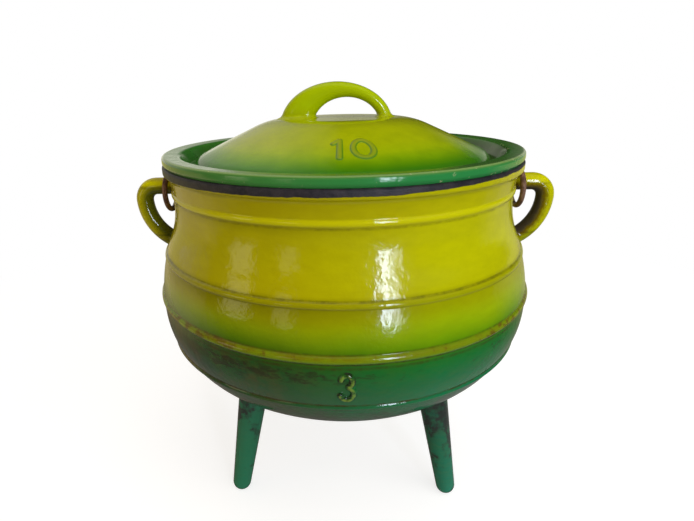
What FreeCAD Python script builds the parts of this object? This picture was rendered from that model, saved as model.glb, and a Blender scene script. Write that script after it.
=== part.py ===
import FreeCAD, Part
import math
import os

import Sketcher

# Three-legged cast pot with a lid and a wire bail.
# Millimetres, +Z up. The origin is on the floor under the pot's axis, and the two ears lie along X.

SIZES = {
    # pot: radii of the vessel, each set off from the one before
    "belly_radius": 138,
    "neck_setback": 15.2,
    "lip_width": 6.9,
    # pot: heights of the vessel, each above the one before
    "bottom_height": 83,
    "belly_rise": 88,
    "neck_rise": 73,
    "mouth_rise": 26.5,
    "lip_height": 6.2,
    # pot: curves of the wall
    "flare_arc_radius": 110,
    "neck_arc_radius": 61,
    "knuckle_share": 0.75,
    "wall": 5,
    "lip_round": 1.6,
    "mouth_round": 1.2,
    # pot: raised beads, their middles from the neck's or the belly's height, and how far they stand proud
    "neck_bead_rise": 7,
    "waist_bead_drop": 35.6,
    "belly_bead_rise": 7.7,
    "foot_bead_drop": 26.8,
    "bead_arc_radius": 3,
    "neck_bead_proud": 0.9,
    "waist_bead_proud": 1.1,
    "belly_bead_proud": 1.5,
    "foot_bead_proud": 0.8,
    # pot: ears
    "ear_bar": 12.8,
    "ear_bar_rise": 4.9,
    "ear_reach": 30.5,
    "ear_bend_radius": 11,
    "ear_sweep_radius": 36,
    "ear_root_depth": 8,
    # pot: legs
    "leg_root_setback": 59,
    "foot_radius": 7.5,
    "foot_flat_radius": 2.9,
    "leg_lean_angle": 10,
    "leg_root_rise": 32,
    "leg_root_radius": 12.6,
    # lid: rim and trough, radii each set off from the one before, heights from the top of the rim
    "rim_setback": 0.4,
    "rim_taper": 1.6,
    "rim_height": 6.5,
    "rim_width": 11.6,
    "crest_drop": 0.6,
    "trough_outer_slope": 6.3,
    "trough_floor": 6.3,
    "trough_inner_slope": 7.2,
    "trough_depth": 9.2,
    "shoulder_drop": 0.2,
    "dome_rise": 20.3,
    "lid_wall": 4.5,
    "step_gap": 1.2,
    "dome_top_round": 58,
    "shoulder_round": 8,
    "trough_round": 2.6,
    "crest_round": 3,
    "rim_round": 1.8,
    "step_round": 2,
    # lid: loop handle, heights from the top of the dome
    "grip_hole_span": 24.3,
    "grip_hole_shift": 4.3,
    "grip_hole_rise": 13.7,
    "grip_left_root": 24,
    "grip_right_root": 9.4,
    "grip_thickness": 10.7,
    "grip_depth": 14,
    "grip_margin": 10,
    "grip_sink": 2,
    # bail
    "wire": 4,
    "hook_side_gap": 2.2,
    "hook_hole": 22.6,
    "hook_turn_angle": 262,
    "hook_play": 0.3,
    "bail_seat_gap": 0.4,
}

LEG_COUNT = 3
GRIP_SECTIONS = 9
GRIP_END_ANGLE = 8
GRIP_CORNER_SHARE = 0.46

START, END, CENTRE = range(1, 4)
H_AXIS, V_AXIS = range(-1, -3, -1)
ORIGIN = (H_AXIS, START)

doc = FreeCAD.newDocument("potjie")
sheet = doc.addObject("Spreadsheet::Sheet", "Sizes")
for row, (alias, value) in enumerate(SIZES.items(), start=1):
    sheet.set(f"A{row}", alias)
    sheet.set(f"B{row}", str(value))
    sheet.setAlias(f"B{row}", alias)
doc.recompute()


def number(expression):
    """The value of an expression on the sheet."""
    value = sheet.evalExpression(expression)
    return float(getattr(value, "Value", value))


def point(x, y):
    return FreeCAD.Vector(number(x), number(y), 0)


def new_body(label):
    body = doc.addObject("PartDesign::Body", label)
    body.Label = label
    return body


def origin_feature(body, role):
    return next(item for item in body.Origin.OriginFeatures if item.Role == role)


def new_sketch(body, name, plane):
    sketch = body.newObject("Sketcher::SketchObject", name)
    sketch.AttachmentSupport = [(origin_feature(body, plane), "")]
    sketch.MapMode = "FlatFace"
    return sketch


def size(sketch, kind, *where_and_expression):
    """A dimension of the sketch, bound to the sheet."""
    *where, expression = where_and_expression
    index = sketch.addConstraint(Sketcher.Constraint(kind, *where, number(expression)))
    sketch.setExpression(f"Constraints[{index}]", expression)


def place(sketch, geometry, spot, x, y):
    """Fixes a point of the sketch by its two distances from the origin."""
    for kind, expression in (("DistanceX", x), ("DistanceY", y)):
        if abs(number(expression)) < 1e-9:
            axis = V_AXIS if kind == "DistanceX" else H_AXIS
            sketch.addConstraint(Sketcher.Constraint("PointOnObject", geometry, spot, axis))
        else:
            size(sketch, kind, *ORIGIN, geometry, spot, expression)


def join(sketch, first, first_spot, second, second_spot, kind="Coincident"):
    sketch.addConstraint(Sketcher.Constraint(kind, first, first_spot, second, second_spot))


def arc(centre, radius, start_angle, end_angle):
    circle = Part.Circle(centre, FreeCAD.Vector(0, 0, 1), radius)
    return Part.ArcOfCircle(circle, start_angle, end_angle)


def polygon(sketch, corners):
    """A closed outline of straight lines, every corner bound to the sheet."""
    spots = [point(x, y) for x, y in corners]
    for here, there in zip(spots, spots[1:] + spots[:1]):
        sketch.addGeometry(Part.LineSegment(here, there), False)
    for index, (x, y) in enumerate(corners):
        join(sketch, index, END, (index + 1) % len(corners), START)
        place(sketch, index, START, x, y)


def revolve(body, sketch, name, cut=False, angle=360, axis="V_Axis"):
    feature = body.newObject("PartDesign::Groove" if cut else "PartDesign::Revolution", name)
    feature.Profile = sketch
    feature.ReferenceAxis = (sketch, [axis])
    feature.Angle = angle
    return feature


def round_edges(body, name, radius, circles):
    """A fillet on circular edges about Z, each named by its radius and height."""
    doc.recompute()
    base = body.Tip
    names = []
    for index, edge in enumerate(base.Shape.Edges, start=1):
        if edge.Degenerated:
            continue
        curve = edge.Curve
        if not isinstance(curve, Part.Circle) or abs(curve.Axis.z) < 0.999:
            continue
        for across, height in circles:
            if abs(curve.Radius - across) < 0.01 and abs(curve.Center.z - height) < 0.01:
                names.append(f"Edge{index}")
    if len(names) < len(circles):
        raise RuntimeError(f"{name}: found {len(names)} edges of {len(circles)}")
    fillet = body.newObject("PartDesign::Fillet", name)
    fillet.Base = (base, names)
    fillet.setExpression("Radius", radius)


# Pot
# The vessel's wall is one outline of five arcs, used twice: once for the outside and once, set in by
# the wall, for the hollow. From the bottom up they are the dish, the knuckle, the belly, the neck and
# the flare under the lip.

BELLY_HEIGHT = "(Sizes.bottom_height + Sizes.belly_rise)"
NECK_HEIGHT = f"({BELLY_HEIGHT} + Sizes.neck_rise)"
MOUTH_HEIGHT = f"({NECK_HEIGHT} + Sizes.mouth_rise)"
NECK_RADIUS = "(Sizes.belly_radius - Sizes.neck_setback)"
KNUCKLE_ARC = "(Sizes.knuckle_share * Sizes.belly_rise)"
MOUTH_RADIUS = (f"({NECK_RADIUS} + Sizes.flare_arc_radius"
                " - sqrt((Sizes.flare_arc_radius + Sizes.wall)^2 - Sizes.mouth_rise^2))")
LIP_RADIUS = f"({MOUTH_RADIUS} + Sizes.lip_width)"
LIP_FOOT = f"({MOUTH_HEIGHT} - Sizes.lip_height)"


def vessel_arcs(sketch, inset, top):
    """The five arcs as geometry 0 to 4, from the bottom's middle to the height named top."""
    neck_arc, flare_arc = number(f"Sizes.neck_arc_radius + {inset}"), number(f"Sizes.flare_arc_radius + {inset}")
    knuckle_arc = number(f"{KNUCKLE_ARC} - {inset}")
    neck_radius, belly_radius = number(f"{NECK_RADIUS} - {inset}"), number(f"Sizes.belly_radius - {inset}")
    bottom = number(f"Sizes.bottom_height + {inset}")
    neck_height, belly_height = number(NECK_HEIGHT), number(BELLY_HEIGHT)
    across, rise = belly_radius - neck_radius, neck_height - belly_height
    belly_arc = (across ** 2 + rise ** 2) / (2 * across) - neck_arc
    lean = math.asin(rise / (belly_arc + neck_arc))
    knuckle_x = belly_radius - knuckle_arc
    drop = belly_height - bottom
    dish_arc = (knuckle_x ** 2 + drop ** 2 - knuckle_arc ** 2) / (2 * (drop - knuckle_arc))
    dish_end = math.asin(knuckle_x / (dish_arc - knuckle_arc)) - math.pi / 2
    flare_end = math.pi - math.asin((number(top) - neck_height) / flare_arc)
    level = FreeCAD.Vector
    sketch.addGeometry(arc(level(0, bottom + dish_arc, 0), dish_arc, -math.pi / 2, dish_end), False)
    sketch.addGeometry(arc(level(knuckle_x, belly_height, 0), knuckle_arc, dish_end, 0), False)
    sketch.addGeometry(arc(level(belly_radius - belly_arc, belly_height, 0), belly_arc, 0, lean), False)
    sketch.addGeometry(arc(level(neck_radius + neck_arc, neck_height, 0), neck_arc, math.pi, math.pi + lean), False)
    sketch.addGeometry(arc(level(neck_radius + flare_arc, neck_height, 0), flare_arc, flare_end, math.pi), False)
    dish, knuckle, belly, neck, flare = range(5)
    join(sketch, dish, END, knuckle, START, "Tangent")
    join(sketch, knuckle, END, belly, START)
    join(sketch, belly, END, neck, END, "Tangent")
    join(sketch, neck, START, flare, END)
    place(sketch, dish, START, "0", f"Sizes.bottom_height + {inset}")
    sketch.addConstraint(Sketcher.Constraint("PointOnObject", dish, CENTRE, V_AXIS))
    place(sketch, belly, START, f"Sizes.belly_radius - {inset}", BELLY_HEIGHT)
    place(sketch, neck, START, f"{NECK_RADIUS} - {inset}", NECK_HEIGHT)
    for index, height in ((knuckle, BELLY_HEIGHT), (belly, BELLY_HEIGHT), (neck, NECK_HEIGHT), (flare, NECK_HEIGHT)):
        size(sketch, "DistanceY", *ORIGIN, index, CENTRE, height)
    size(sketch, "Radius", knuckle, f"{KNUCKLE_ARC} - {inset}")
    size(sketch, "Radius", neck, f"Sizes.neck_arc_radius + {inset}")
    size(sketch, "Radius", flare, f"Sizes.flare_arc_radius + {inset}")
    size(sketch, "DistanceY", *ORIGIN, flare, START, top)


def close_outline(sketch, first, corners):
    """Straight lines from the flare's top through the corners to the axis, and down it to the bottom."""
    flare_top = sketch.getPoint(4, START)
    spots = [flare_top] + [point(x, y) for x, y in corners] + [sketch.getPoint(0, START)]
    for index, (here, there) in enumerate(zip(spots, spots[1:])):
        sketch.addGeometry(Part.LineSegment(here, there), False)
        line = first + index
        if index == 0:
            join(sketch, 4, START, line, START)
        else:
            join(sketch, line - 1, END, line, START)
            place(sketch, line, START, *corners[index - 1])
    join(sketch, first + len(spots) - 2, END, 0, START)


def bead_centre(height, proud, arc_centre, arc_radius, arc_height, side):
    """Where a bead's circle sits, so that it stands proud of an arc of the wall by the given amount."""
    reach = f"({arc_radius} - {side} * (Sizes.bead_arc_radius - {proud}))"
    return f"{arc_centre} + {side} * sqrt({reach}^2 - ({height} - {arc_height})^2)"


pot = new_body("pot")

outside = new_sketch(pot, "outside", "XZ_Plane")
vessel_arcs(outside, "0", LIP_FOOT)
close_outline(outside, 5, [
    (LIP_RADIUS, LIP_FOOT),
    (LIP_RADIUS, MOUTH_HEIGHT),
    ("0", MOUTH_HEIGHT),
])
revolve(pot, outside, "vessel")
doc.recompute()

# Each ear is a round bar, bent from a short level stretch at the neck down to the belly.
ear_path = new_sketch(pot, "ear_path", "XZ_Plane")
EAR_BAR_HEIGHT = f"({NECK_HEIGHT} + Sizes.ear_bar_rise)"
EAR_REACH = f"({NECK_RADIUS} + Sizes.ear_reach)"
BEND_X, BEND_Z = f"{EAR_REACH} - Sizes.ear_bend_radius", f"{EAR_BAR_HEIGHT} - Sizes.ear_bend_radius"
ROOT_X = f"({NECK_RADIUS} - Sizes.ear_root_depth)"
SWEEP_X = f"({EAR_REACH} - Sizes.ear_sweep_radius)"
sweep_end = -math.acos((number(ROOT_X) - number(SWEEP_X)) / number("Sizes.ear_sweep_radius"))
ear_path.addGeometry(Part.LineSegment(point(ROOT_X, EAR_BAR_HEIGHT), point(BEND_X, EAR_BAR_HEIGHT)), False)
ear_path.addGeometry(arc(point(BEND_X, BEND_Z), number("Sizes.ear_bend_radius"), 0, math.pi / 2), False)
ear_path.addGeometry(arc(point(SWEEP_X, BEND_Z), number("Sizes.ear_sweep_radius"), sweep_end, 0), False)
join(ear_path, 0, END, 1, END, "Tangent")
join(ear_path, 1, START, 2, END, "Tangent")
ear_path.addConstraint(Sketcher.Constraint("Horizontal", 0))
place(ear_path, 0, START, ROOT_X, EAR_BAR_HEIGHT)
size(ear_path, "Radius", 1, "Sizes.ear_bend_radius")
size(ear_path, "Radius", 2, "Sizes.ear_sweep_radius")
place(ear_path, 1, START, EAR_REACH, BEND_Z)
size(ear_path, "DistanceX", *ORIGIN, 2, START, ROOT_X)

ear_section = new_sketch(pot, "ear_section", "YZ_Plane")
ear_section.setExpression("AttachmentOffset.Base.z", ROOT_X)
ear_section.addGeometry(Part.Circle(point("0", EAR_BAR_HEIGHT), FreeCAD.Vector(0, 0, 1),
                                    number("Sizes.ear_bar / 2")), False)
place(ear_section, 0, CENTRE, "0", EAR_BAR_HEIGHT)
size(ear_section, "Diameter", 0, "Sizes.ear_bar")

ear = pot.newObject("PartDesign::AdditivePipe", "ear")
ear.Profile = ear_section
ear.Spine = (ear_path, ["Edge1", "Edge2", "Edge3"])
doc.recompute()
both_ears = pot.newObject("PartDesign::Mirrored", "both_ears")
both_ears.Originals = [ear]
both_ears.MirrorPlane = (origin_feature(pot, "YZ_Plane"), [""])
pot.Tip = both_ears

# Each leg is a tapered round bar with a ball foot. It leans outward: its sketch stands on the foot's
# centre and is tipped by the lean, so that the leg's own axis is the sketch's vertical one.
FOOT_Z = "sqrt(Sizes.foot_radius^2 - Sizes.foot_flat_radius^2)"
LEG_UP = f"(Sizes.bottom_height + Sizes.leg_root_rise - {FOOT_Z})"
LEG_LEAN = "(Sizes.leg_lean_angle * 1 deg)"
LEG_LONG = f"({LEG_UP} / cos({LEG_LEAN}))"
FOOT_CIRCLE = f"(Sizes.belly_radius - Sizes.leg_root_setback + {LEG_UP} * tan({LEG_LEAN}))"

leg_section = new_sketch(pot, "leg_section", "XZ_Plane")
leg_section.AttachmentOffset = FreeCAD.Placement(
    FreeCAD.Vector(0, 0, 0), FreeCAD.Rotation(FreeCAD.Vector(1, 0, 0), 10))
leg_section.setExpression("AttachmentOffset.Base.z", f"-{FOOT_CIRCLE} * 1 mm")
leg_section.setExpression("AttachmentOffset.Base.y", f"{FOOT_Z} * 1 mm")
leg_section.setExpression("AttachmentOffset.Rotation.Angle", "Sizes.leg_lean_angle")
leg_section.addGeometry(arc(point("0", "0"), number("Sizes.foot_radius"), -math.pi / 2, 0), False)
LEG_CORNERS = [("Sizes.foot_radius", "0"), ("Sizes.leg_root_radius", LEG_LONG), ("0", LEG_LONG),
               ("0", "-Sizes.foot_radius")]
leg_spots = [point(x, y) for x, y in LEG_CORNERS]
for index, (here, there) in enumerate(zip(leg_spots, leg_spots[1:]), start=1):
    leg_section.addGeometry(Part.LineSegment(here, there), False)
join(leg_section, 0, CENTRE, *ORIGIN)
size(leg_section, "Radius", 0, "Sizes.foot_radius")
leg_section.addConstraint(Sketcher.Constraint("PointOnObject", 0, START, V_AXIS))
leg_section.addConstraint(Sketcher.Constraint("PointOnObject", 0, END, H_AXIS))
join(leg_section, 0, END, 1, START)
join(leg_section, 1, END, 2, START)
join(leg_section, 2, END, 3, START)
join(leg_section, 3, END, 0, START)
place(leg_section, 2, START, *LEG_CORNERS[1])
place(leg_section, 3, START, *LEG_CORNERS[2])
leg = revolve(pot, leg_section, "leg")
doc.recompute()
legs = pot.newObject("PartDesign::PolarPattern", "legs")
legs.Originals = [leg]
legs.Axis = (origin_feature(pot, "Z_Axis"), [""])
legs.Angle = 360
legs.Occurrences = LEG_COUNT
pot.Tip = legs

# The beads are rings of round section, sunk into the wall.
BELLY_ARC = ("((Sizes.neck_setback^2 + Sizes.neck_rise^2) / (2 * Sizes.neck_setback) - Sizes.neck_arc_radius)")
BELLY_CENTRE = f"Sizes.belly_radius - {BELLY_ARC}"
BELLY_BEAD_HEIGHT = f"({BELLY_HEIGHT} + Sizes.belly_bead_rise)"
beads = new_sketch(pot, "beads", "XZ_Plane")
for index, (y, proud, centre, radius, height, side) in enumerate((
        (f"({NECK_HEIGHT} + Sizes.neck_bead_rise)", "Sizes.neck_bead_proud",
         f"{NECK_RADIUS} + Sizes.flare_arc_radius", "Sizes.flare_arc_radius", NECK_HEIGHT, -1),
        (f"({NECK_HEIGHT} - Sizes.waist_bead_drop)", "Sizes.waist_bead_proud", BELLY_CENTRE, BELLY_ARC, BELLY_HEIGHT, 1),
        (BELLY_BEAD_HEIGHT, "Sizes.belly_bead_proud", BELLY_CENTRE, BELLY_ARC, BELLY_HEIGHT, 1),
        (f"({BELLY_HEIGHT} - Sizes.foot_bead_drop)", "Sizes.foot_bead_proud",
         f"Sizes.belly_radius - {KNUCKLE_ARC}", KNUCKLE_ARC, BELLY_HEIGHT, 1))):
    x = bead_centre(y, proud, centre, radius, height, side)
    beads.addGeometry(Part.Circle(point(x, y), FreeCAD.Vector(0, 0, 1), number("Sizes.bead_arc_radius")), False)
    place(beads, index, CENTRE, x, y)
    size(beads, "Radius", index, "Sizes.bead_arc_radius")
revolve(pot, beads, "raised_beads")

# The hollow runs up through the mouth, and cuts off what the ears and legs leave inside.
hollow_section = new_sketch(pot, "hollow_section", "XZ_Plane")
vessel_arcs(hollow_section, "Sizes.wall", MOUTH_HEIGHT)
close_outline(hollow_section, 5, [
    (MOUTH_RADIUS, f"{MOUTH_HEIGHT} + Sizes.lip_height"),
    ("0", f"{MOUTH_HEIGHT} + Sizes.lip_height"),
])
revolve(pot, hollow_section, "hollow", cut=True)

# The feet are ground flat on the floor.
floor_section = new_sketch(pot, "floor_section", "XZ_Plane")
polygon(floor_section, [
    ("0", "0"),
    ("0", "-Sizes.foot_radius"),
    (f"{FOOT_CIRCLE} + 2 * Sizes.foot_radius", "-Sizes.foot_radius"),
    (f"{FOOT_CIRCLE} + 2 * Sizes.foot_radius", "0"),
])
revolve(pot, floor_section, "foot_flats", cut=True)

lip, mouth, lip_foot = number(LIP_RADIUS), number(MOUTH_HEIGHT), number(LIP_FOOT)
round_edges(pot, "lip_edges", "Sizes.lip_round", [(lip, mouth), (lip, lip_foot)])
round_edges(pot, "mouth_edge", "Sizes.mouth_round", [(number(MOUTH_RADIUS), mouth)])


# Lid
# One wall of even thickness: a flat rim, a round trough, and a low dome with a flat top. A step under
# the rim drops into the mouth and centres the lid, which only rests there.

GRIP_SPAN = "(Sizes.grip_hole_span + (Sizes.grip_left_root + Sizes.grip_right_root) / 2)"
GRIP_SHIFT = "(Sizes.grip_hole_shift + (Sizes.grip_right_root - Sizes.grip_left_root) / 2)"
RIM_RADIUS = f"({LIP_RADIUS} - Sizes.rim_setback)"
CREST_RADIUS = f"({RIM_RADIUS} - Sizes.rim_width)"
TROUGH_OUTER = f"({CREST_RADIUS} - Sizes.trough_outer_slope)"
TROUGH_INNER = f"({TROUGH_OUTER} - Sizes.trough_floor)"
SHOULDER_RADIUS = f"({TROUGH_INNER} - Sizes.trough_inner_slope)"
DOME_TOP_RADIUS = f"({GRIP_SPAN} + Sizes.grip_margin)"
SLOPE = f"atan2(Sizes.dome_rise + Sizes.shoulder_drop; {SHOULDER_RADIUS} - {DOME_TOP_RADIUS})"
STEEP = "atan2(Sizes.trough_depth - Sizes.shoulder_drop; Sizes.trough_inner_slope)"
HALF_TURN = f"cos(({STEEP} - {SLOPE}) / 2)"
UNDER = "-(Sizes.trough_depth + Sizes.lid_wall)"
STEP_RADIUS = f"({MOUTH_RADIUS} - Sizes.step_gap)"
LID_CORNERS = {
    "top": ("0", "Sizes.dome_rise"),
    "dome edge": (DOME_TOP_RADIUS, "Sizes.dome_rise"),
    "shoulder": (SHOULDER_RADIUS, "-Sizes.shoulder_drop"),
    "trough inner": (TROUGH_INNER, "-Sizes.trough_depth"),
    "trough outer": (TROUGH_OUTER, "-Sizes.trough_depth"),
    "crest": (CREST_RADIUS, "-Sizes.crest_drop"),
    "rim": (RIM_RADIUS, "0"),
    "rim foot": (f"{RIM_RADIUS} - Sizes.rim_taper", "-Sizes.rim_height"),
    "step root": (STEP_RADIUS, "-Sizes.rim_height"),
    "step": (STEP_RADIUS, UNDER),
    "under trough": (f"{TROUGH_INNER} - Sizes.lid_wall * tan({STEEP} / 2)", UNDER),
    "under shoulder": (f"{SHOULDER_RADIUS} - Sizes.lid_wall * sin(({SLOPE} + {STEEP}) / 2) / {HALF_TURN}",
                       f"-Sizes.shoulder_drop - Sizes.lid_wall * cos(({SLOPE} + {STEEP}) / 2) / {HALF_TURN}"),
    "under dome edge": (f"{DOME_TOP_RADIUS} - Sizes.lid_wall * tan({SLOPE} / 2)",
                        "Sizes.dome_rise - Sizes.lid_wall"),
    "under top": ("0", "Sizes.dome_rise - Sizes.lid_wall"),
}

lid = new_body("lid")
lid.setExpression("Placement.Base.z", f"({MOUTH_HEIGHT} + Sizes.rim_height) * 1 mm")
lid_section = new_sketch(lid, "lid_section", "XZ_Plane")
polygon(lid_section, list(LID_CORNERS.values()))
revolve(lid, lid_section, "lid_disc")
for name, radius, corners in (
        ("dome_edge", "Sizes.dome_top_round", ["dome edge"]),
        ("dome_edge_under", "Sizes.dome_top_round - Sizes.lid_wall", ["under dome edge"]),
        ("shoulder_edge", "Sizes.shoulder_round", ["shoulder"]),
        ("shoulder_edge_under", "Sizes.shoulder_round - Sizes.lid_wall", ["under shoulder"]),
        ("trough_edges", "Sizes.trough_round", ["trough inner", "trough outer"]),
        ("trough_edge_under", "Sizes.trough_round + Sizes.lid_wall", ["under trough"]),
        ("crest_edge", "Sizes.crest_round", ["crest"]),
        ("rim_edge", "Sizes.rim_round", ["rim"]),
        ("step_edge", "Sizes.step_round", ["step"])):
    round_edges(lid, name, radius, [tuple(number(part) for part in LID_CORNERS[corner]) for corner in corners])

# The handle is a strap between two half ellipses, lofted through sections that stand across it. The
# outer ellipse is set off to the left, which makes the left root the wide one.
SPRINGING = "(Sizes.dome_rise - Sizes.lid_wall - Sizes.grip_sink)"
HOLE_SPRUNG = "(Sizes.grip_hole_rise + Sizes.lid_wall + Sizes.grip_sink)"
grip_sections = []
for station in range(GRIP_SECTIONS):
    angle = GRIP_END_ANGLE + station * (180 - 2 * GRIP_END_ANGLE) / (GRIP_SECTIONS - 1)
    turn = f"({angle} * 1 deg)"
    in_x = f"(Sizes.grip_hole_shift + Sizes.grip_hole_span * cos({turn}))"
    in_z = f"({SPRINGING} + {HOLE_SPRUNG} * sin({turn}))"
    out_x = f"({GRIP_SHIFT} + {GRIP_SPAN} * cos({turn}))"
    out_z = f"({SPRINGING} + ({HOLE_SPRUNG} + Sizes.grip_thickness) * sin({turn}))"
    wide = f"sqrt(({out_x} - {in_x})^2 + ({out_z} - {in_z})^2)"
    corner = f"({GRIP_CORNER_SHARE} * min({wide}; Sizes.grip_depth))"
    section = new_sketch(lid, f"grip_section_{station}", "XY_Plane")
    section.AttachmentOffset = FreeCAD.Placement(
        FreeCAD.Vector(0, 0, 0), FreeCAD.Rotation(FreeCAD.Vector(0, -1, 0), 90))
    section.setExpression("AttachmentOffset.Base.x", f"({in_x} + {out_x}) / 2 * 1 mm")
    section.setExpression("AttachmentOffset.Base.z", f"({in_z} + {out_z}) / 2 * 1 mm")
    section.setExpression("AttachmentOffset.Rotation.Angle", f"atan2({out_z} - {in_z}; {out_x} - {in_x})")
    half_wide, half_deep, bend = number(f"{wide} / 2"), number("Sizes.grip_depth / 2"), number(corner)
    for quarter, (side_x, side_y) in enumerate(((1, 1), (-1, 1), (-1, -1), (1, -1))):
        middle = FreeCAD.Vector(side_x * (half_wide - bend), side_y * (half_deep - bend), 0)
        start = quarter * math.pi / 2
        section.addGeometry(arc(middle, bend, start, start + math.pi / 2), False)
    for quarter in range(4):
        here, there = section.getPoint(quarter, END), section.getPoint((quarter + 1) % 4, START)
        section.addGeometry(Part.LineSegment(here, there), False)
    for quarter in range(4):
        line = 4 + quarter
        join(section, quarter, END, line, START, "Tangent")
        join(section, line, END, (quarter + 1) % 4, START, "Tangent")
        section.addConstraint(Sketcher.Constraint("Vertical" if quarter % 2 else "Horizontal", line))
    for quarter in range(1, 4):
        section.addConstraint(Sketcher.Constraint("Equal", 0, quarter))
    size(section, "Radius", 0, corner)
    size(section, "DistanceX", 5, START, 7, START, wide)
    size(section, "DistanceY", 6, START, 4, START, "Sizes.grip_depth")
    size(section, "DistanceX", *ORIGIN, 7, START, f"{wide} / 2")
    size(section, "DistanceY", *ORIGIN, 4, START, "Sizes.grip_depth / 2")
    grip_sections.append(section)
doc.recompute()
grip = lid.newObject("PartDesign::AdditiveLoft", "handle")
grip.Profile = grip_sections[0]
grip.Sections = [(section, [""]) for section in grip_sections[1:]]
doc.recompute()


# Bail
# A round wire. Its two hooks go round the ears' level bars; the bow lies back and down onto the
# belly's bead. Built level, with the hinge line along X through its own origin, then leant back.

HOOK_ARC = "(Sizes.hook_hole / 2 + Sizes.wire / 2)"
HOOK_PLACE = f"({LIP_RADIUS} + Sizes.hook_side_gap + Sizes.wire / 2)"
PIVOT_Z = f"({EAR_BAR_HEIGHT} + Sizes.ear_bar / 2 + Sizes.hook_play - Sizes.hook_hole / 2)"
BEAD_CREST = (f"({BELLY_CENTRE} + sqrt(({BELLY_ARC} + Sizes.belly_bead_proud)^2"
              " - Sizes.belly_bead_rise^2))")
BOW_OUT = f"({BEAD_CREST} + Sizes.bail_seat_gap + Sizes.wire / 2)"
BOW_DROP = f"({PIVOT_Z} - {BELLY_BEAD_HEIGHT})"
BOW_REACH = f"sqrt({BOW_OUT}^2 + {BOW_DROP}^2 - {HOOK_ARC}^2)"
BAIL_LEAN = f"(atan2({BOW_DROP}; {BOW_OUT}) + atan2({HOOK_ARC}; {BOW_REACH}))"

bail = new_body("bail")
hook_section = new_sketch(bail, "hook_section", "XZ_Plane")
hook_section.addGeometry(Part.Circle(point(HOOK_PLACE, HOOK_ARC), FreeCAD.Vector(0, 0, 1),
                                     number("Sizes.wire / 2")), False)
place(hook_section, 0, CENTRE, HOOK_PLACE, HOOK_ARC)
size(hook_section, "Diameter", 0, "Sizes.wire")
hook = revolve(bail, hook_section, "hook", axis="H_Axis")
hook.setExpression("Angle", "Sizes.hook_turn_angle")
doc.recompute()
both_hooks = bail.newObject("PartDesign::Mirrored", "both_hooks")
both_hooks.Originals = [hook]
both_hooks.MirrorPlane = (origin_feature(bail, "YZ_Plane"), [""])
bail.Tip = both_hooks
doc.recompute()

bow_path = new_sketch(bail, "bow_path", "XY_Plane")
bow_path.setExpression("AttachmentOffset.Base.z", f"{HOOK_ARC} * 1 mm")
TURN_Y = f"({BOW_REACH} - {HOOK_PLACE})"
bow_path.addGeometry(Part.LineSegment(point(HOOK_PLACE, "0"), point(HOOK_PLACE, TURN_Y)), False)
bow_path.addGeometry(arc(point("0", TURN_Y), number(HOOK_PLACE), 0, math.pi), False)
bow_path.addGeometry(Part.LineSegment(point(f"-{HOOK_PLACE}", TURN_Y), point(f"-{HOOK_PLACE}", "0")), False)
place(bow_path, 0, START, HOOK_PLACE, "0")
place(bow_path, 0, END, HOOK_PLACE, TURN_Y)
join(bow_path, 0, END, 1, START, "Tangent")
join(bow_path, 1, END, 2, START, "Tangent")
bow_path.addConstraint(Sketcher.Constraint("PointOnObject", 1, CENTRE, V_AXIS))
bow_path.addConstraint(Sketcher.Constraint("PointOnObject", 2, END, H_AXIS))
bow_path.addConstraint(Sketcher.Constraint("Vertical", 2))
bow_section = new_sketch(bail, "bow_section", "XZ_Plane")
bow_section.addGeometry(Part.Circle(point(HOOK_PLACE, HOOK_ARC), FreeCAD.Vector(0, 0, 1),
                                    number("Sizes.wire / 2")), False)
place(bow_section, 0, CENTRE, HOOK_PLACE, HOOK_ARC)
size(bow_section, "Diameter", 0, "Sizes.wire")
doc.recompute()
bow = bail.newObject("PartDesign::AdditivePipe", "bow")
bow.Profile = bow_section
bow.Spine = (bow_path, ["Edge1", "Edge2", "Edge3"])
doc.recompute()
bail.Placement = FreeCAD.Placement(FreeCAD.Vector(0, 0, 0), FreeCAD.Rotation(FreeCAD.Vector(-1, 0, 0), 30))
bail.setExpression("Placement.Base.z", f"{PIVOT_Z} * 1 mm")
bail.setExpression("Placement.Rotation.Angle", BAIL_LEAN)
doc.recompute()

# Checks and export
for item in doc.Objects:
    if "Invalid" in item.State or "Error" in item.State:
        raise RuntimeError(f"{item.Name} did not build: {item.State}")
    if item.TypeId == "Sketcher::SketchObject" and item.solve() != 0:
        raise RuntimeError(f"{item.Name} has no solution")
os.makedirs("parts", exist_ok=True)
for body in (pot, lid, bail):
    shape = body.Shape
    if shape.isNull() or not shape.isValid() or len(shape.Solids) != 1:
        raise RuntimeError(f"{body.Label}: {len(shape.Solids)} solids, valid {shape.isValid()}")
    print(body.Label, "volume", round(shape.Volume / 1000, 1), "cm3, box", shape.optimalBoundingBox())
    shape.exportStep(f"parts/{body.Label}.step")
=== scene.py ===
import math

import bpy
import numpy as np
from mathutils import Matrix


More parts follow.
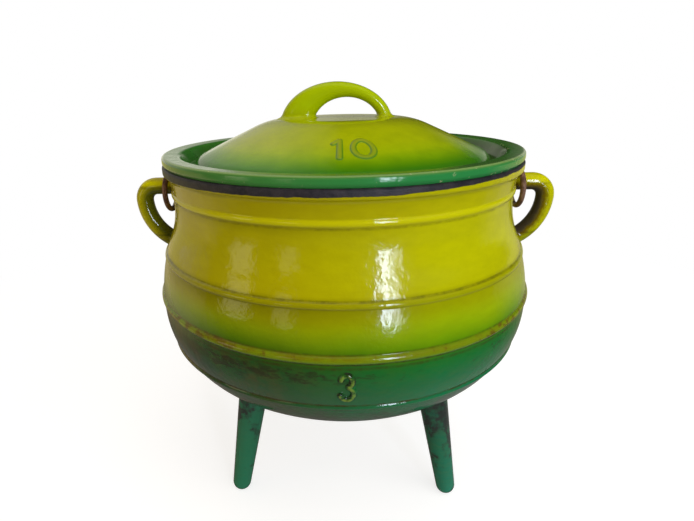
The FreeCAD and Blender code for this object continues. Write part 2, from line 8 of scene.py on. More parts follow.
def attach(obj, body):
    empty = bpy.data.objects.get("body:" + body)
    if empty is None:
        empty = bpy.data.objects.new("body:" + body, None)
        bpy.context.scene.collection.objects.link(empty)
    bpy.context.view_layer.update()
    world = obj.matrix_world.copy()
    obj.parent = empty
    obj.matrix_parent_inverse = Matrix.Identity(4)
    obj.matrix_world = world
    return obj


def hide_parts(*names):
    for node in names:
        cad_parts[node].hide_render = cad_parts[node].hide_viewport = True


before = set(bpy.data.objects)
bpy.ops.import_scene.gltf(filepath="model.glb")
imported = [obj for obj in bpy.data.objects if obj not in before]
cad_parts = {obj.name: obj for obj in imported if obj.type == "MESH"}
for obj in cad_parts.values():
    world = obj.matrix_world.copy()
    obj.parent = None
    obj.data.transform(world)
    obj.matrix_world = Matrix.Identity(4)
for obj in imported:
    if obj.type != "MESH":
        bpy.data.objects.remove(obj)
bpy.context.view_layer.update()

# Vessel
# The round body is one casting of grey iron, 5 mm thick, with four raised beads round it and a heavy lip.
# It is enamelled outside, sprayed olive yellow at the neck and dark green below, and left black at the lip.

# Sizes are in mm, with heights over the ground. Each bead has its height, its crown's radius and its rise,
# and a small fillet at its foot.
MM = 0.001
LIP_RADIUS, MOUTH_HEIGHT, LIP_HEIGHT, MOUTH_RADIUS = 127.8, 270.5, 6.2, 120.9
FLARE_ARC, NECK_RADIUS, NECK_HEIGHT, NECK_ARC = 110, 122.8, 244, 61
BELLY_RADIUS, BELLY_HEIGHT, KNUCKLE_ARC, BOTTOM_HEIGHT, WALL = 138, 171, 66, 83, 5
NECK_BEAD, WAIST_BEAD = (251, 3, 0.9), (208.4, 2.6, 1.1)
BELLY_BEAD, FOOT_BEAD = (178.7, 2.8, 1.5), (144.2, 2.2, 1.2)
BEADS, BEAD_FOOT = [NECK_BEAD, WAIST_BEAD, BELLY_BEAD, FOOT_BEAD], 0.4
LIP_INSIDE, LIP_DRAFT, LIP_ROUNDS = 4, 0.6, [1.6, 1.6, 1.2]
CAST_DEPTH, AXIS_GAP, VESSEL_STEPS_ROUND = 0.16, 0.02, 300


def arc_points(centre, radius, first, last, step):
    """Points on a circle's arc, from the first angle to the last, about one step apart."""
    count = max(int(abs(last - first) * radius / step), 2)
    angles = np.linspace(first, last, count + 1)
    return np.stack([centre[0] + radius * np.cos(angles), centre[1] + radius * np.sin(angles)], -1)


def vessel_wall(inset, top, step):
    """The wall's five arcs as (radius, height) from the bottom's middle up: dish, knuckle, belly, neck and
    flare. Neighbouring arcs share a tangent, and an inset wall has the same centres."""
    across, rise = BELLY_RADIUS - NECK_RADIUS, NECK_HEIGHT - BELLY_HEIGHT
    belly_arc = (across ** 2 + rise ** 2) / (2 * across) - NECK_ARC
    lean = math.asin(rise / (belly_arc + NECK_ARC))
    knuckle_x, drop = BELLY_RADIUS - KNUCKLE_ARC, BELLY_HEIGHT - BOTTOM_HEIGHT
    dish_arc = (knuckle_x ** 2 + drop ** 2 - KNUCKLE_ARC ** 2) / (2 * (drop - KNUCKLE_ARC))
    dish_end = math.asin(knuckle_x / (dish_arc - KNUCKLE_ARC)) - math.pi / 2
    flare_end = math.pi - math.asin((top - NECK_HEIGHT) / (FLARE_ARC + inset))
    neck_x, flare_x = NECK_RADIUS + NECK_ARC, NECK_RADIUS + FLARE_ARC
    return np.concatenate([
        arc_points((0, BOTTOM_HEIGHT + dish_arc), dish_arc - inset, -math.pi / 2, dish_end, step),
        arc_points((knuckle_x, BELLY_HEIGHT), KNUCKLE_ARC - inset, dish_end, 0, step)[1:],
        arc_points((BELLY_RADIUS - belly_arc, BELLY_HEIGHT), belly_arc - inset, 0, lean, step)[1:],
        arc_points((neck_x, NECK_HEIGHT), NECK_ARC + inset, math.pi + lean, math.pi, step)[1:],
        arc_points((flare_x, NECK_HEIGHT), FLARE_ARC + inset, math.pi, flare_end, step)[1:],
    ])


def outward(line):
    """Unit normals of a line of (radius, height) that runs up the outside: its tangent, turned clockwise."""
    along = np.gradient(line, axis=0)
    along /= np.linalg.norm(along, axis=1, keepdims=True)
    return np.stack([along[:, 1], -along[:, 0]], -1)


def rounded(corners, radii, step):
    """A line through corners, each cut off by an arc of its radius that touches both sides. Its centre lies
    radius / sin(half the corner's angle) from the corner."""
    pieces = [np.array([corners[0]], float)]
    for before, here, after, radius in zip(corners, corners[1:], corners[2:], radii):
        here = np.array(here, float)
        back, on = np.array(before) - here, np.array(after) - here
        back, on = back / np.linalg.norm(back), on / np.linalg.norm(on)
        half = math.acos(np.clip(back @ on, -1, 1)) / 2
        nearly_straight = half > 1.57
        if radius == 0 or nearly_straight:
            pieces.append(here[None])
            continue
        centre = here + (back + on) / np.linalg.norm(back + on) * radius / math.sin(half)
        first = here + back * radius / math.tan(half) - centre
        last = here + on * radius / math.tan(half) - centre
        start = math.atan2(first[1], first[0])
        turn = (math.atan2(last[1], last[0]) - start + math.pi) % (2 * math.pi) - math.pi
        pieces.append(arc_points(centre, radius, start, start + turn, step))
    pieces.append(np.array([corners[-1]], float))
    return np.concatenate(pieces)


def run_along(line):
    """How far along a line each of its points lies: the lengths between them, added up."""
    return np.concatenate([[0], np.cumsum(np.linalg.norm(np.diff(line, axis=0), axis=1))])


def thin_out(line, spacing):
    """Points along a fine line at the distances that spacing asks for at each place, in mm."""
    run = run_along(line)
    share = np.concatenate([[0], np.cumsum(np.diff(run) / spacing(line)[1:])])
    picks = np.interp(np.linspace(0, share[-1], int(share[-1]) + 1), share, run)
    return np.stack([np.interp(picks, run, line[:, k]) for k in (0, 1)], -1)


def rings_mesh(name, rings, **attributes):
    """A closed skin over a grid of rings, point (i, j) being ring i at step j round it, in mm. A fan about
    its mean closes each end ring. Faces are turned round if the enclosed volume comes out negative."""
    count, around = rings.shape[:2]
    points = rings.reshape(-1, 3)
    i, j = np.meshgrid(np.arange(count - 1), np.arange(around), indexing="ij")
    here, beside = i * around + j, i * around + (j + 1) % around
    quads = np.stack([here, beside, beside + around, here + around], -1).reshape(-1, 4)
    faces = [quads[:, [0, 1, 2]], quads[:, [0, 2, 3]]]
    step = np.arange(around)
    for row, flip in ((0, True), (count - 1, False)):
        points = np.vstack([points, rings[row].mean(0)])
        middle = np.full(around, len(points) - 1)
        fan = np.stack([row * around + step, row * around + (step + 1) % around, middle], -1)
        faces.append(fan[:, ::-1] if flip else fan)
    faces = np.concatenate(faces)
    a, b, c = (points[faces[:, k]] for k in range(3))
    if np.einsum("ij,ij->i", a, np.cross(b, c)).sum() < 0:
        faces = faces[:, ::-1]
    mesh = bpy.data.meshes.new(name)
    mesh.from_pydata(points * MM, [], faces.tolist())
    mesh.polygons.foreach_set("use_smooth", np.ones(len(faces), bool))
    for label, values in attributes.items():
        values = np.asarray(values, float).ravel()
        values = np.concatenate([values, np.full(len(points) - len(values), values[-1])])
        attribute = mesh.attributes.new(label, "FLOAT", "POINT")
        attribute.data.foreach_set("value", values.astype(np.float32))
    mesh.update()
    piece = bpy.data.objects.new(name, mesh)
    bpy.context.scene.collection.objects.link(piece)
    return piece


def turned(line, around):
    """Rings about Z from a line of (radius, height): x = r cos a, y = r sin a."""
    angle = np.linspace(0, 2 * math.pi, around, endpoint=False)
    radius, height = line[:, :1], line[:, 1:]
    return np.stack([radius * np.cos(angle), radius * np.sin(angle), height + 0 * angle], -1)


def cast_waves(points):
    """The slight unevenness of a sand casting: three sine waves round and up the wall are added along the
    radius. They fade out within 60 mm of the axis."""
    x, y, z = np.moveaxis(points, -1, 0)
    angle = np.arctan2(y, x)
    wave = np.sin(5 * angle + z / 17) + np.sin(9 * angle - z / 11 + 1) + 0.7 * np.sin(14 * angle + z / 8 + 2)
    reach = np.clip(np.hypot(x, y) / 60, 0, 1) * CAST_DEPTH * wave / 2.7
    return points + np.stack([reach * np.cos(angle), reach * np.sin(angle), 0 * z], -1)


def soft_floor(height, blend):
    """A height kept above zero, with a small hollow fillet: b/4 (1 + h/b)^2 where h is within b of zero."""
    near = np.clip(height / blend, -1, 1)
    return np.where(height > blend, height, blend / 4 * (1 + near) ** 2)


def vessel_spacing(line):
    """Points lie 0.3 mm apart on the beads and 3.2 mm apart between them."""
    off_bead = np.min([np.abs(line[:, 1] - height) for height, crown_arc, rise in BEADS], axis=0)
    return np.where(off_bead < 3.5, 0.3, 3.2)


wall_line = vessel_wall(0, MOUTH_HEIGHT - LIP_HEIGHT, 0.1)
bead_line = wall_line.copy()
for height, crown_arc, rise in BEADS:
    off = np.linalg.norm(wall_line - wall_line[np.argmin(np.abs(wall_line[:, 1] - height))], axis=1)
    crown = np.sqrt(np.maximum(crown_arc ** 2 - off ** 2, 0)) - (crown_arc - rise)
    bead_line += outward(wall_line) * soft_floor(crown, BEAD_FOOT)[:, None]
outside = thin_out(bead_line, vessel_spacing)
lip = rounded([outside[-1], (LIP_RADIUS, MOUTH_HEIGHT - LIP_HEIGHT), (LIP_RADIUS, MOUTH_HEIGHT),
               (MOUTH_RADIUS, MOUTH_HEIGHT), (MOUTH_RADIUS - LIP_DRAFT, MOUTH_HEIGHT - LIP_INSIDE)],
              LIP_ROUNDS, 0.4)
inside = vessel_wall(WALL, MOUTH_HEIGHT - LIP_INSIDE, 4.0)[::-1]
vessel_line = np.concatenate([outside, lip[1:-1], inside])
# The line's ends stay a hair off the axis, and caps close the skin there.
vessel_line[[0, -1], 0] = AXIS_GAP
# Each point keeps how far it lies along the line past the lip's lower edge, where the enamel stops.
vessel_run = run_along(vessel_line)
past_lip_edge = np.repeat(vessel_run - vessel_run[len(outside) + 1], VESSEL_STEPS_ROUND)
vessel_rings = cast_waves(turned(vessel_line, VESSEL_STEPS_ROUND))
vessel = rings_mesh("vessel", vessel_rings, past_lip_edge=past_lip_edge)


def linear(hex_colour):
    """A shader's linear colour from sRGB hex: each channel c is ((c + 0.055) / 1.055) ^ 2.4, or c / 12.92
    where it is dark."""
    channel = np.array([int(hex_colour[k:k + 2], 16) for k in (1, 3, 5)]) / 255
    return (*np.where(channel <= 0.04045, channel / 12.92, ((channel + 0.055) / 1.055) ** 2.4), 1)


def add_node(tree, kind, *values, output=0, stops=None, **words):
    """Adds a node and gives back one output. Values go to its inputs in order. A word with a capital names an
    input, with _ for a space, and any other a setting. Sockets are linked, and a ramp gets its stops."""
    made = tree.nodes.new("ShaderNode" + kind)
    inputs = dict(enumerate(values))
    for word, value in words.items():
        if word[0].isupper():
            inputs[word.replace("_", " ")] = value
        else:
            setattr(made, word, value)
    for label, value in inputs.items():
        if isinstance(value, bpy.types.NodeSocket):
            tree.links.new(value, made.inputs[label])
        else:
            made.inputs[label].default_value = value
    if stops:
        elements = made.color_ramp.elements
        while len(elements) < len(stops):
            elements.new(1)
        for element, (place, colour) in zip(elements, stops):
            element.position, element.color = place, colour
    return made.outputs[output] if len(made.outputs) else made


def new_material(name):
    """An empty material and its node tree."""
    material = bpy.data.materials.new(name)
    material.use_nodes = True
    material.node_tree.nodes.clear()
    return material, material.node_tree


def overlap(tree, *covers):
    """Where several covers lie at once: their product."""
    whole = covers[0]
    for cover in covers[1:]:
        whole = add_node(tree, "Math", whole, cover, operation="MULTIPLY")
    return whole


def added(tree, value, *parts):
    """A value with others added to it, each times its own weight."""
    for part, weight in parts:
        value = add_node(tree, "Math", part, weight, value, operation="MULTIPLY_ADD")
    return value


def patches(tree, place, scale, detail, roughness, low, high, full=1.0):
    """Cloudy patches, so many to a metre: noise about 0.5, taken as nothing at low and full at high."""
    cloud = add_node(tree, "TexNoise", place, Scale=scale, Detail=detail, Roughness=roughness)
    return add_node(tree, "MapRange", cloud, low, high, 0, full)


def stripe(tree, distance, middle, half):
    """A soft line about a middle distance: whole over 0.4 of its half width, and nothing past that."""
    off = add_node(tree, "Math", distance, middle, operation="SUBTRACT")
    off = add_node(tree, "Math", off, operation="ABSOLUTE")
    return add_node(tree, "MapRange", off, half, half * 0.4)


def painted(tree, colour, *coats):
    """Coats laid over a first colour. Each is its cover, from 0 to 1, and its own colour."""
    for cover, tint in coats:
        tint = linear(tint) if isinstance(tint, str) else tint
        colour = add_node(tree, "Mix", Factor=cover, A=colour, B=tint, data_type="RGBA", output="Result")
    return colour


# Vitreous enamel on cast iron, sprayed in bands of colour and fired: a hard clear gloss. The spray goes by
# the height in mm, and the edges between its bands drift a little, as sprayed edges do. All other places in
# the material are in metres.
SPRAY_TOP = 264
SPRAY = [(0, "#1F8065"), (18, "#1C7458"), (50, "#18694A"), (76, "#175840"), (94, "#1A4533"), (112, "#144F36"),
         (130, "#12653F"), (146, "#107045"), (158, "#086A3A"), (168, "#086D30"), (174, "#1C6E26"),
         (177, "#3F7C08"), (182, "#5A8C00"), (188, "#7C9E00"), (196, "#97AC00"), (203, "#A5AC00"),
         (212, "#B2B100"), (228, "#B9B800"), (246, "#B9B700"), (256, "#B8B300"), (SPRAY_TOP, "#B4AF00")]
enamel, tree = new_material("enamel_on_cast_iron")
place = add_node(tree, "TexCoord", output="Object")
across = add_node(tree, "SeparateXYZ", place, output="X")
height = add_node(tree, "SeparateXYZ", place, output="Z")
flattened = add_node(tree, "Mapping", place, Scale=(1, 1, 2.6))
drift = add_node(tree, "TexNoise", place, Scale=22, Detail=3)
drift = add_node(tree, "Math", drift, 0.5, operation="SUBTRACT")
sprayed = add_node(tree, "MapRange", added(tree, height, (drift, 0.009)), 0, SPRAY_TOP * MM)
colour = add_node(tree, "ValToRGB", sprayed, stops=[(z / SPRAY_TOP, linear(tint)) for z, tint in SPRAY])

# The coat is a little uneven. Toward the left it carries painted shade: warm golden at the neck and a darker
# green at the belly.
leftward = add_node(tree, "MapRange", across, 0.055, -0.035)
painted_golden_shade = overlap(tree, leftward, add_node(tree, "MapRange", height, 0.186, 0.200, 0, 0.32))
painted_green_shade = overlap(tree, leftward, add_node(tree, "MapRange", height, 0.200, 0.182, 0, 0.60))
uneven = patches(tree, flattened, 90, 5, 0.65, 0.35, 0.75, 0.15)
colour = painted(tree, colour, (uneven, "#5F6200"), (painted_golden_shade, "#8E6800"), (painted_green_shade, "#2E3E06"))

# Smoke has browned the left side low down, and burnt it in level streaks, most under the belly bead.
left = add_node(tree, "MapRange", across, 0.005, -0.085)
low = overlap(tree, add_node(tree, "MapRange", height, 0.1765, 0.1745),
              add_node(tree, "MapRange", height, 0.106, 0.116))
thin = patches(tree, place, 45, 5, 0.65, 0.62, 0.40, 0.5)
browned = overlap(tree, left, low, add_node(tree, "Math", thin, 0.25, operation="ADD"))
brown = painted(tree, linear("#523A22"), (patches(tree, place, 60, 5, 0.7, 0.42, 0.58), "#23402A"))
streaks = add_node(tree, "TexNoise", flattened, Scale=95, Detail=6, Roughness=0.75)
streaks = added(tree, streaks, (stripe(tree, height, 0.1670, 0.0075), 0.20),
                (add_node(tree, "MapRange", across, 0.03, -0.03), 0.15))
burnt = overlap(tree, add_node(tree, "MapRange", streaks, 0.76, 0.90), low, 0.65)
colour = painted(tree, colour, (browned, brown), (burnt, "#2A2014"))

# Below the foot bead the fire has left red-brown stains.
scaled = overlap(tree, patches(tree, place, 55, 5, 0.7, 0.47, 0.60, 0.6),
                 add_node(tree, "MapRange", height, 0.141, 0.136),
                 add_node(tree, "MapRange", height, 0.104, 0.112))
colour = painted(tree, colour, (scaled, "#43302C"))

# The belly bead kept the yellow coat, stained brown along its top, least at the far left. The neck bead has a
# pale painted highlight along its crown, and the belly bead's crown is worn to brown in places, most toward
# the sides.
stained = overlap(tree, stripe(tree, height, 0.1806, 0.0022), patches(tree, place, 75, 5, 0.7, 0.34, 0.60),
                  added(tree, 0.45, (leftward, 0.3)),
                  add_node(tree, "MapRange", across, -0.105, -0.085, 0, 0.8))
fine = add_node(tree, "TexNoise", place, Scale=150, Detail=5, Roughness=0.7)
aside = add_node(tree, "Math", across, 0.008, operation="SUBTRACT")
aside = add_node(tree, "Math", aside, operation="ABSOLUTE")
aside = add_node(tree, "MapRange", aside, 0.035, 0.085)
worn_crown = overlap(tree, stripe(tree, height, 0.1797, 0.0036),
                     add_node(tree, "MapRange", added(tree, fine, (aside, 0.13)), 0.60, 0.70), 0.8)
colour = painted(tree, colour, (stripe(tree, height, 0.1794, 0.0028), "#72860A"), (stained, "#6A5208"),
                 (overlap(tree, stripe(tree, height, 0.2515, 0.0026), 0.5), "#D6D204"),
                 (worn_crown, "#5E4A14"))

# Painted shade lies in dark dotted lines in the creases along the beads' edges. Each has its height, half
# width and depth.
BEAD_CREASE_SHADE_LINES = [(0.2481, 0.0010, 0.35), (0.2106, 0.0009, 0.55), (0.1819, 0.0009, 0.45), (0.1760, 0.0009, 0.8),
              (0.1736, 0.0012, 0.6), (0.1463, 0.0010, 0.85), (0.1419, 0.0010, 0.6)]
dotted = patches(tree, place, 170, 6, 0.75, 0.42, 0.60)
dotted = added(tree, 0.3, (dotted, 0.7))
for middle, half, depth in BEAD_CREASE_SHADE_LINES:
    crease_shade = overlap(tree, stripe(tree, height, middle, half), dotted, depth)
    colour = painted(tree, colour, (crease_shade, "#3A3310"))

# Painted olive shade deepens up to the waist and neck beads and stops there. Each has its start, its end, its
# depth at the right and what the left has more. A fainter line of painted shade lies along the waist bead's
# top.
for start, end, depth, more in ((0.193, 0.2066, 0.34, 0.30), (0.2430, 0.2490, 0.0, 0.32)):
    shade = overlap(tree, add_node(tree, "MapRange", height, start, end),
                    add_node(tree, "MapRange", height, end + 0.001, end),
                    added(tree, depth, (leftward, more)))
    colour = painted(tree, colour, (shade, "#565400"))
colour = painted(tree, colour, (overlap(tree, stripe(tree, height, 0.2097, 0.0034), 0.3), "#565400"))

# The legs are a clearer green low down, and scorched black toward their roots, in patches.
clear_green = overlap(tree, add_node(tree, "MapRange", across, 0.0, -0.04, 0, 0.28),
                      add_node(tree, "MapRange", height, 0.105, 0.085))
scorch = add_node(tree, "TexNoise", place, Scale=62, Detail=5, Roughness=0.6)
scorch = added(tree, scorch, (add_node(tree, "MapRange", height, 0.02, 0.10), 0.20),
               (add_node(tree, "MapRange", across, 0.0, 0.05), 0.05))
scorched = overlap(tree, add_node(tree, "MapRange", scorch, 0.60, 0.70),
                   add_node(tree, "MapRange", height, 0.112, 0.100), 0.85)
colour = painted(tree, colour, (clear_green, "#1CA078"), (scorched, "#2A2226"))

# The size number is worn bright along its ridge, and dark round its foot.
ridge = add_node(tree, "Attribute", attribute_name="ridge", output="Fac")
chipped = overlap(tree, add_node(tree, "MapRange", ridge, 0.02, 0.3),
                  add_node(tree, "MapRange", fine, 0.36, 0.54, 0, 0.9))
rubbed_ridge = overlap(tree, add_node(tree, "MapRange", ridge, 0.72, 0.95),
                       patches(tree, place, 420, 3, 0.6, 0.36, 0.56), 0.7)
colour = painted(tree, colour, (chipped, "#191D10"), (rubbed_ridge, "#7C9A38"))

# The ears' inner faces are dark. On the left ear this is painted shade, olive; on the right, where the hooks
# and hands rub, they are rusty to black. The ears' attribute is 2 plus 1 outside to -1 inside, and 0 on all
# other pieces.
ear_face = add_node(tree, "Attribute", attribute_name="ear_face", output="Fac")
on_ear = add_node(tree, "MapRange", ear_face, 0.2, 0.8)
facing = add_node(tree, "Math", ear_face, 2, operation="SUBTRACT")
left_ear_inner_shade = overlap(tree, add_node(tree, "MapRange", facing, 0.35, -0.5), on_ear,
                add_node(tree, "MapRange", across, 0.1, -0.1), 0.85)
rub = add_node(tree, "Math", fine, 0.5, operation="SUBTRACT")
rub = added(tree, facing, (rub, 0.9))
right_ear = overlap(tree, on_ear, add_node(tree, "MapRange", across, -0.1, 0.1))
rusty = overlap(tree, add_node(tree, "MapRange", rub, 0.30, -0.25, 0, 0.85), right_ear)
rubbed_bare = overlap(tree, add_node(tree, "MapRange", rub, -0.25, -0.65), right_ear)
colour = painted(tree, colour, (left_ear_inner_shade, "#2F3A08"), (rusty, "#5E4200"),
                 (overlap(tree, rubbed_bare, 0.9), "#2A2024"))

# The lip and the inside were left as cast and have gone black with oil. The enamel's edge is slightly ragged,
# lies further up at the right and a little lower at the left.
past_edge = add_node(tree, "Attribute", attribute_name="past_lip_edge", output="Fac")
ragged = add_node(tree, "TexNoise", place, Scale=120, Detail=5, Roughness=0.65)
ragged = added(tree, past_edge, (ragged, 1.7), (add_node(tree, "MapRange", across, 0.03, 0.115), -2.7),
               (add_node(tree, "MapRange", across, 0.0, -0.09), 0.9))
bare = add_node(tree, "MapRange", ragged, 3.2, 3.6)
oiled = painted(tree, linear("#1B1920"), (add_node(tree, "MapRange", fine, 0.40, 0.62), "#332C31"))
colour = painted(tree, colour, (bare, oiled))

# Bare and burnt places are dull. The gloss has an orange peel of 8, 4 and 1.5 mm waves, coarser than a real
# coat's so that it shows, and the bare iron a grain of 1 mm.
dull = add_node(tree, "Math", bare, overlap(tree, burnt, 0.5), operation="MAXIMUM")
dull = add_node(tree, "Math", dull, rubbed_bare, operation="MAXIMUM")
roughness = add_node(tree, "MapRange", dull, 0, 1, 0.11, 0.5)
skin = add_node(tree, "TexNoise", place, Scale=120, Detail=4, Roughness=0.55)
grain = overlap(tree, add_node(tree, "TexNoise", place, Scale=1100, Detail=2), bare)
skin = added(tree, skin, (add_node(tree, "TexNoise", place, Scale=650, Detail=2), 0.16),
             (add_node(tree, "TexNoise", place, Scale=260, Detail=2, Roughness=0.4), 0.6), (grain, 1.2))
relief = add_node(tree, "Bump", Height=skin, Strength=0.5, Distance=0.0005)
shader = add_node(tree, "BsdfPrincipled", Base_Color=colour, Roughness=roughness, IOR=1.5, Normal=relief)
add_node(tree, "OutputMaterial", Surface=shader)

vessel.data.materials.append(enamel)
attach(vessel, "pot")
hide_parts("pot")


# Ears
# Two round iron bars bent into ears and cast in one with the body. Each leaves the neck level, which is where
# the bail's hook runs, then turns down and sweeps back into the belly. Their roots are filleted.

EAR_BAR, EAR_HEIGHT, EAR_REACH, EAR_BEND, EAR_SWEEP, EAR_FILLET = 12.8, 248.9, 153.3, 11, 36, 5.0
EAR_ROOT, EAR_SWEEP_TURN, EAR_STEPS_ROUND = 112, 96, 56


def wall_gap(points):
    """How far points lie outside the vessel's wall, and the wall's normal there: the height picks the wall's
    radius and slope, and the gap is (r - wall radius) times the cosine of the slope."""
    upper = wall_line[wall_line[:, 1] > BOTTOM_HEIGHT]
    normals = outward(upper)
    height = np.clip(points[..., 2], BOTTOM_HEIGHT, None)
    radius = np.hypot(points[..., 0], points[..., 1])
    wall = np.interp(height, upper[:, 1], upper[:, 0])
    side, up = (np.interp(height, upper[:, 1], normals[:, k]) for k in (0, 1))
    flat = points[..., :2] / np.maximum(radius, 1e-6)[..., None]
    return (radius - wall) * side, np.concatenate([flat * side[..., None], up[..., None]], -1)


def flared(rings, middles, gap, normal, fillet):
    """Bars swell where they meet a wall: at a gap d below the fillet f a point moves along the wall by
    f - sqrt(f^2 - (f - d)^2), which is a quarter circle that touches the wall."""
    away = rings - middles
    away -= (away * normal).sum(-1, keepdims=True) * normal
    away /= np.maximum(np.linalg.norm(away, axis=-1, keepdims=True), 1e-6)
    close = fillet - np.clip(gap, 0, fillet)
    return rings + away * (fillet - np.sqrt(fillet ** 2 - close ** 2 + 1e-9))[..., None]


def bar_rings(path, side, radius, around):
    """Rings of a bar round a path in space: each point is path + radius (cos a * across + sin a * side),
    where across is square to both the path and the side."""
    along = np.gradient(path, axis=0)
    along /= np.linalg.norm(along, axis=1, keepdims=True)
    across = np.cross(along, side)
    across /= np.linalg.norm(across, axis=1, keepdims=True)
    angle = np.linspace(0, 2 * math.pi, around, endpoint=False)[None, :, None]
    radius = np.broadcast_to(radius, len(path))[:, None, None]
    return path[:, None] + radius * (np.cos(angle) * across[:, None] + np.sin(angle) * np.array(side, float))


bend_x, bend_z = EAR_REACH - EAR_BEND, EAR_HEIGHT - EAR_BEND
level_x = np.linspace(EAR_ROOT, bend_x, 76)[:-1]
ear_flat = np.concatenate([
    np.stack([level_x, np.full(len(level_x), EAR_HEIGHT)], -1),
    arc_points((bend_x, bend_z), EAR_BEND, math.pi / 2, 0, 0.6),
    arc_points((EAR_REACH - EAR_SWEEP, bend_z), EAR_SWEEP, 0, -math.radians(EAR_SWEEP_TURN), 0.45)[1:],
])
ear_turn = np.linspace(0, 2 * math.pi, EAR_STEPS_ROUND, endpoint=False)
for side, name in ((-1, "ear_left"), (1, "ear_right")):
    ear_path = np.stack([side * ear_flat[:, 0], 0 * ear_flat[:, 0], ear_flat[:, 1]], -1)
    rings = bar_rings(ear_path, (0, side, 0), EAR_BAR / 2, EAR_STEPS_ROUND)
    gap, normal = wall_gap(rings)
    middles = np.broadcast_to(ear_path[:, None], rings.shape)
    faces_outward = 2 + np.cos(ear_turn) + 0 * ear_path[:, :1]
    ear = rings_mesh(name, flared(rings, middles, gap, normal, EAR_FILLET), ear_face=faces_outward)
    ear.data.materials.append(enamel)
    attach(ear, "pot")
    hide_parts("pot")


# Legs
# Three tapered round legs, cast in one with the bottom and splayed eleven degrees. They end in balls that are
# ground flat where they stand. The enamel on them is dark green, scorched near the fire.

FOOT_CIRCLE, FOOT_ROUND, FOOT_FLAT = 98, 7.5, 2.9
LEG_ROOT_CIRCLE, LEG_ROOT_HEIGHT, LEG_ROOT_ROUND, LEG_FILLET = 76.8, 115, 12.6, 4.5
LEG_STEPS_ROUND = 64

# A leg's rings run from its ball's pole over the ball, up the shaft and, closer together, through its root.
foot_height = math.sqrt(FOOT_ROUND ** 2 - FOOT_FLAT ** 2)
ball_run = -FOOT_ROUND * np.cos(np.linspace(0.02, math.pi / 2, 16))
leg_run = np.concatenate([ball_run, np.linspace(1, 70, 34), np.linspace(70.6, 108, 76)])
leg_long = math.hypot(FOOT_CIRCLE - LEG_ROOT_CIRCLE, LEG_ROOT_HEIGHT - foot_height)
ball_radius = np.sqrt(np.maximum(FOOT_ROUND ** 2 - leg_run ** 2, 0.0001))
shaft_radius = FOOT_ROUND + (LEG_ROOT_ROUND - FOOT_ROUND) * leg_run / leg_long
leg_radius = np.where(leg_run < 0, ball_radius, shaft_radius)
dish = wall_line[wall_line[:, 1] < BELLY_HEIGHT]
dish_normal = outward(dish)
up = np.array([0, 0, 1.0])
for azimuth, name in ((90, "leg_back"), (210, "leg_left"), (330, "leg_right")):
    turn = math.radians(azimuth)
    out = np.array([math.cos(turn), math.sin(turn), 0])
    lean = ((LEG_ROOT_CIRCLE - FOOT_CIRCLE) * out + (LEG_ROOT_HEIGHT - foot_height) * up) / leg_long
    leg_path = FOOT_CIRCLE * out + foot_height * up + leg_run[:, None] * lean
    rings = bar_rings(leg_path, np.cross(up, out), leg_radius, LEG_STEPS_ROUND)
    radius = np.hypot(rings[..., 0], rings[..., 1])
    under = np.interp(radius, dish[:, 0], dish[:, 1])
    side, down = (np.interp(radius, dish[:, 0], dish_normal[:, k]) for k in (0, 1))
    flat = rings[..., :2] / np.maximum(radius, 1e-6)[..., None]
    normal = np.concatenate([flat * side[..., None], down[..., None]], -1)
    gap = (under - rings[..., 2]) * -down
    rings = flared(rings, np.broadcast_to(leg_path[:, None], rings.shape), gap, normal, LEG_FILLET)
    rings[..., 2] = np.maximum(rings[..., 2], 0)
    leg = rings_mesh(name, rings)
    leg.data.materials.append(enamel)
    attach(leg, "pot")
    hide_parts("pot")


# Size number on the pot
# A raised 3 under the belly bead at the front, cast in one with the body and enamelled dark green with it:
# a round ridge with soft flanks. It is laid out flat in mm, on a grid of 0.3 mm, and bent round the wall.

NUMBER_GRID, NUMBER_BACK = 0.3, 1.5
POT_STROKE_HALF, POT_STROKE_RISE, POT_NUMBER_MARGIN = 2.1, 1.8, 2.8


def curve_points(middle, wide, tall, first, last):
    """Points on an ellipse's arc in the number's own plane, from the first angle to the last, in degrees."""
    angle = np.radians(np.linspace(first, last, 90))
    return np.stack([middle[0] + wide * np.cos(angle), middle[1] + tall * np.sin(angle)], -1)


def raised_strokes(name, surface, strokes, half, rise, margin, **attributes):
    """A skin over a surface(u, v) that gives points and normals. It lies just under the surface, and rises by
    rise (1 - (d / half)^2)^0.8 at a distance d from the strokes' middle lines. Its back is 1.5 mm down."""
    low, high = strokes.min(0) - margin, strokes.max(0) + margin
    u, v = np.meshgrid(np.arange(low[0], high[0], NUMBER_GRID), np.arange(low[1], high[1], NUMBER_GRID))
    off = np.sqrt(((u[..., None] - strokes[:, 0]) ** 2 + (v[..., None] - strokes[:, 1]) ** 2).min(-1)) / half
    lift = rise * np.maximum(1 - off ** 2, 0) ** 0.8 - 0.35 * np.clip(off - 0.8, 0, 1)
    points, normals = surface(u, v)
    front, back = points + lift[..., None] * normals, points - NUMBER_BACK * normals
    ridge = np.concatenate([lift, 0 * lift], 1) / rise
    return rings_mesh(name, np.concatenate([front, back[:, ::-1]], 1), ridge=ridge, **attributes)


def pot_front(u, v):
    """The wall's front as (distance round, height): radius R at the height, at u / R round from the front."""
    upper = wall_line[wall_line[:, 1] > BOTTOM_HEIGHT + 20]
    radius = np.interp(v, upper[:, 1], upper[:, 0])
    side, up = (np.interp(v, upper[:, 1], outward(upper)[:, k]) for k in (0, 1))
    turn = u / radius - math.pi / 2
    points = np.stack([radius * np.cos(turn), radius * np.sin(turn), v], -1)
    return cast_waves(points), np.stack([side * np.cos(turn), side * np.sin(turn), up], -1)


three = np.concatenate([curve_points((3.2, 166.2), 3.2, 3.8, 168, -70),
                        curve_points((3.2, 157.4), 3.8, 4.7, 75, -162)])
pot_number = raised_strokes("pot_size_number", pot_front, three,
                            POT_STROKE_HALF, POT_STROKE_RISE, POT_NUMBER_MARGIN)
pot_number.data.materials.append(enamel)
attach(pot_number, "pot")
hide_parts("pot")


